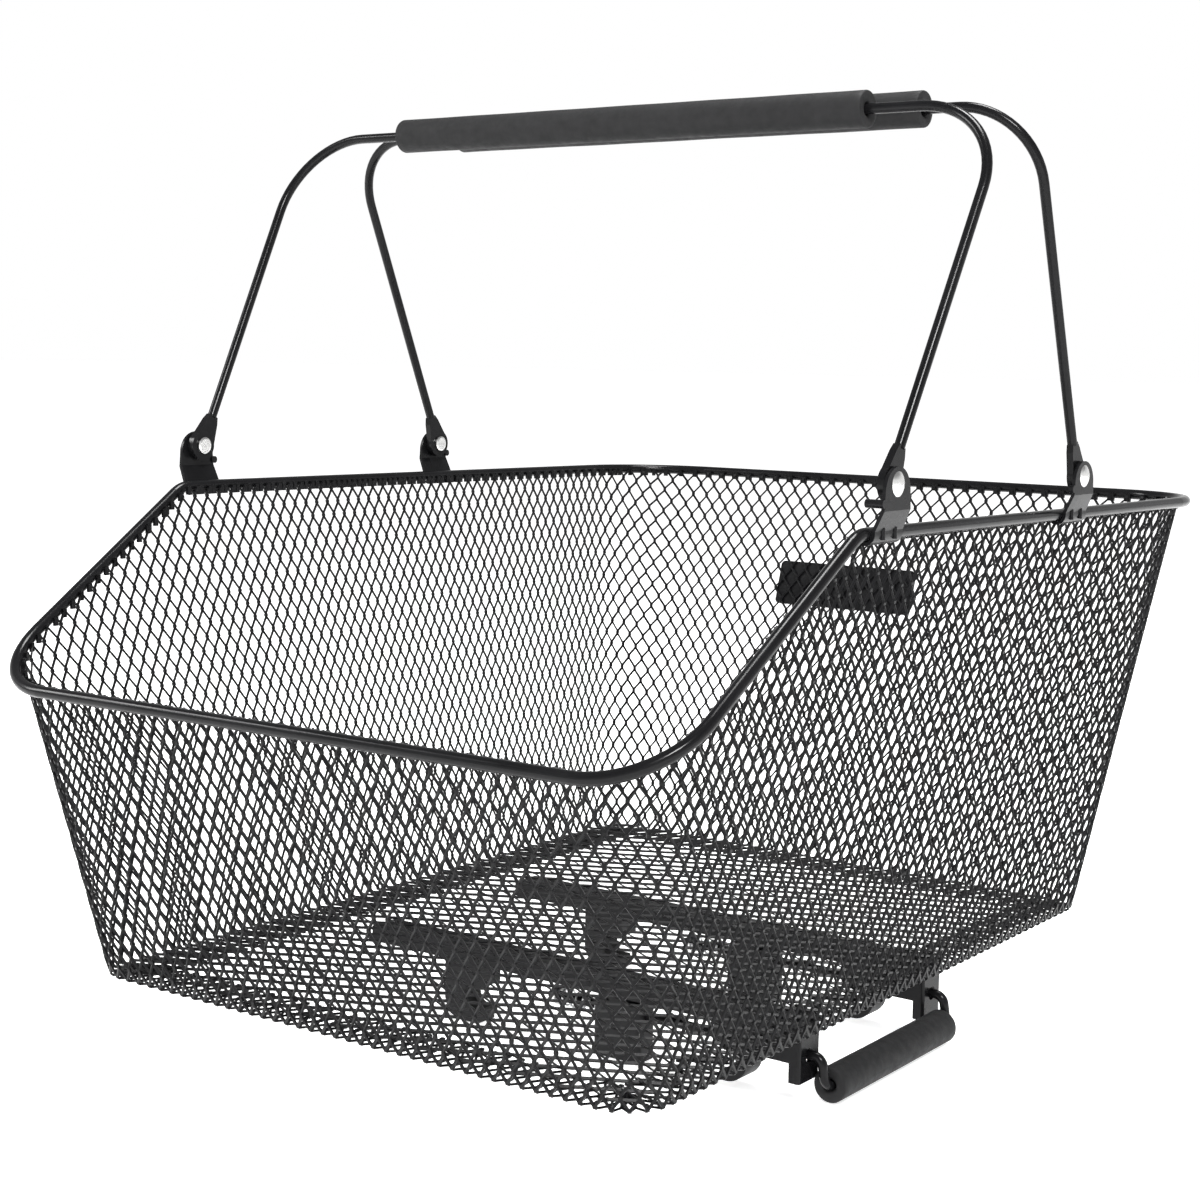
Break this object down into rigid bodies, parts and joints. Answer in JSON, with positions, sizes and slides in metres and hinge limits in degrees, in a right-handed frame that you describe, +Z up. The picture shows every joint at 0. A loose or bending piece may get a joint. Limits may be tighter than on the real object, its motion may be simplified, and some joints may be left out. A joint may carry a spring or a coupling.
{
  "type": "bicycle carrier basket",
  "caption": "Detachable mesh basket for a bicycle rear carrier, with two folding foam-grip handles, hooks and sprung jaws under the floor, and a foam release handle.",
  "frame": {"origin": "on the ground under the middle of the whole part, which stands on Z = 0", "axes": "+Z up, +X across the bicycle towards the release handle, -Y towards the low side of the basket"},
  "size_m": [0.3666, 0.4778, 0.4042],
  "materials": {
    "wire_coat": "glossy black powder coat on round wire",
    "sheet_coat": "satin black powder coat on pressed sheet",
    "mesh_coat": "satin black powder coat on expanded mesh",
    "rivet_steel": "bright zinc-plated steel",
    "spring_steel": "plain spring steel",
    "foam": "matte closed-cell foam",
    "pad_rubber": "matte rubber",
    "moulding": "fine-grained moulding",
    "plate": "smooth dark moulding"
  },
  "bodies": {
    "basket": {"rim_wire": "wire_coat", "wall_mesh": "mesh_coat", "floor_mesh": "mesh_coat", "rear_plate": "plate", "bracket_front_left": "sheet_coat", "bracket_front_right": "sheet_coat", "bracket_rear_left": "sheet_coat", "bracket_rear_right": "sheet_coat", "rivet_front_left": "rivet_steel", "rivet_front_right": "rivet_steel", "rivet_rear_left": "rivet_steel", "rivet_rear_right": "rivet_steel", "rail_front": "sheet_coat", "rail_rear": "sheet_coat", "fixed_hook_front": "moulding", "fixed_hook_rear": "moulding", "hook_pad_front": "pad_rubber", "hook_pad_rear": "pad_rubber", "guide_block_front": "moulding", "guide_block_rear": "moulding", "spring_front": "spring_steel", "spring_rear": "spring_steel"},
    "handle_front": {"handle_front_wire": "wire_coat", "handle_front_grip": "foam"},
    "handle_rear": {"handle_rear_wire": "wire_coat", "handle_rear_grip": "foam"},
    "release": {"bail_wire": "wire_coat", "release_grip": "foam", "jaw_front": "moulding", "jaw_rear": "moulding", "jaw_pad_front": "pad_rubber", "jaw_pad_rear": "pad_rubber", "spring_stop_front": "rivet_steel", "spring_stop_rear": "rivet_steel"}
  },
  "joints": [
    {"name": "handle_front_pivot", "type": "hinge", "parent": "basket", "child": "handle_front", "pos_m": [0, -0.1064, 0.2522], "axis": [1, 0, 0], "range_deg": [-0.6, 120]},
    {"name": "handle_rear_pivot", "type": "hinge", "parent": "basket", "child": "handle_rear", "pos_m": [0, 0.0595, 0.2491], "axis": [1, 0, 0], "range_deg": [-114, 5.2]},
    {"name": "release_slide", "type": "slide", "parent": "basket", "child": "release", "axis": [1, 0, 0], "range_m": [0, 0.012], "stiffness_N_per_m": 600, "springref_m": -0.01, "deforming": ["spring_front", "spring_rear"]}
  ]
}
